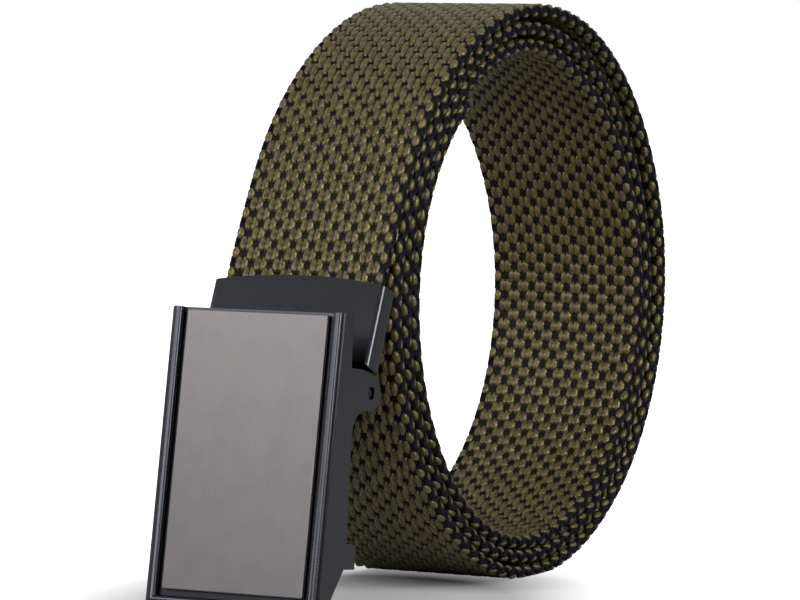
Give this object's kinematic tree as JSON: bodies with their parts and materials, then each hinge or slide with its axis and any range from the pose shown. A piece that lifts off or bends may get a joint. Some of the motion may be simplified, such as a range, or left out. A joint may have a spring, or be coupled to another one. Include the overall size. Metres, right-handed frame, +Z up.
{
  "type": "ratchet belt, rolled up",
  "caption": "Woven webbing belt with a hinged plate buckle, rolled up and standing on the edge of its roll, with the buckle hanging in front.",
  "frame": {"origin": "on the floor, where the roll rests, below the roll's axis and half way across the strap", "axes": "+Z up, X across the strap, -Y towards the side where the buckle hangs"},
  "size_m": [0.0406, 0.1634, 0.124],
  "materials": {
    "webbing": "olive two-strand warp over black weft, silky",
    "satin_black": "satin black plating",
    "gunmetal": "fine brushed gunmetal, satin",
    "pin_steel": "dark turned steel"
  },
  "bodies": {
    "strap_end": {"strap": "webbing", "end_clamp": "satin_black"},
    "buckle": {"buckle_frame": "satin_black", "face_plate": "gunmetal", "hinge_pin": "pin_steel", "lock_bar": "pin_steel"}
  },
  "joints": [
    {"name": "buckle_hinge", "type": "hinge", "parent": "strap_end", "child": "buckle", "pos_m": [0, -0.0732, 0.0461], "axis": [1, 0, 0], "range_deg": [-14, 50]}
  ]
}
